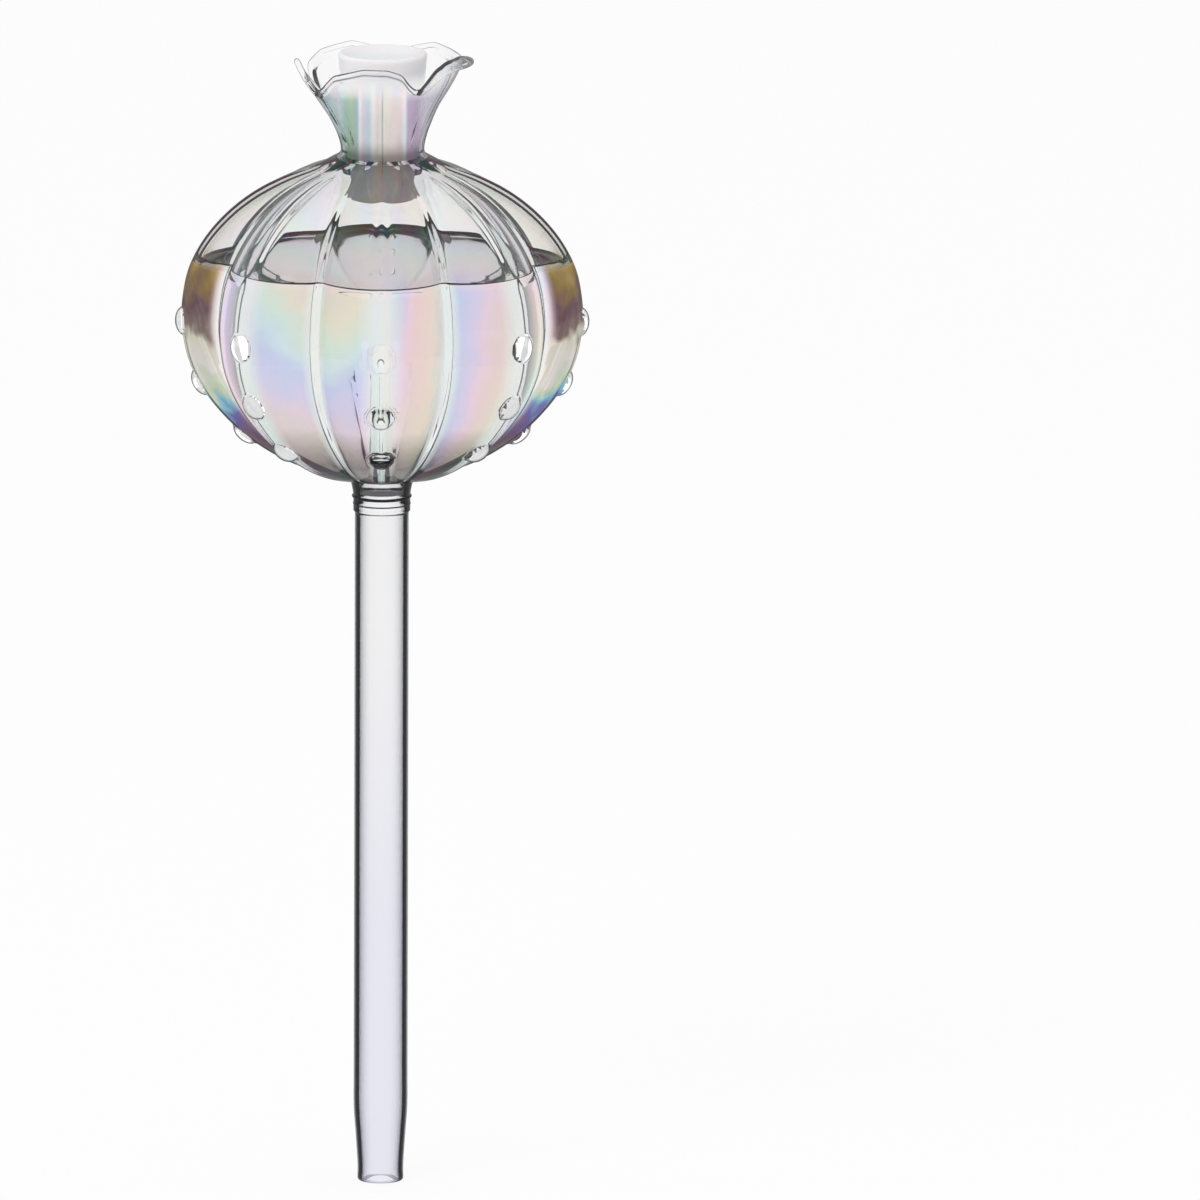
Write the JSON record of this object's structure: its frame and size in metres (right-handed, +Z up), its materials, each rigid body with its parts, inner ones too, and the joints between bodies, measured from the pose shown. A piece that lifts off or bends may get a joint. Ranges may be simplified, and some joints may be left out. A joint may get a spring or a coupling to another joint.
{
  "type": "watering globe",
  "caption": "Blown-glass plant watering globe: a lobed water bulb with a petalled mouth and silicone stopper, on a glass stem that is pushed into the soil.",
  "frame": {"origin": "centre of the stem's open tip, the lowest point of the globe", "axes": "+Z up the stem towards the flower mouth, and -Y towards the front, where one lobe's crest faces"},
  "size_m": [0.094, 0.094, 0.261],
  "materials": {
    "lustre_glass": "clear blown glass with a pearly rainbow lustre",
    "clear_glass": "clear drawn glass, polished",
    "silicone": "translucent white silicone, satin"
  },
  "bodies": {
    "vessel": {"globe_bulb": "lustre_glass", "flower_mouth": "lustre_glass", "stem_collar": "clear_glass", "stem_tube": "clear_glass", "spine_trail_1": "lustre_glass", "spine_trail_2": "lustre_glass", "spine_trail_3": "lustre_glass", "spine_trail_4": "lustre_glass", "spine_trail_5": "lustre_glass", "spine_trail_6": "lustre_glass", "spine_trail_7": "lustre_glass", "spine_trail_8": "lustre_glass", "spine_drops_1": "lustre_glass", "spine_drops_2": "lustre_glass", "spine_drops_3": "lustre_glass", "spine_drops_4": "lustre_glass", "spine_drops_5": "lustre_glass", "spine_drops_6": "lustre_glass", "spine_drops_7": "lustre_glass", "spine_drops_8": "lustre_glass"},
    "stopper": {"stopper": "silicone"}
  },
  "joints": [
    {"name": "stopper_lift", "type": "slide", "parent": "vessel", "child": "stopper", "axis": [0, 0, 1], "range_m": [0, 0.04]}
  ]
}
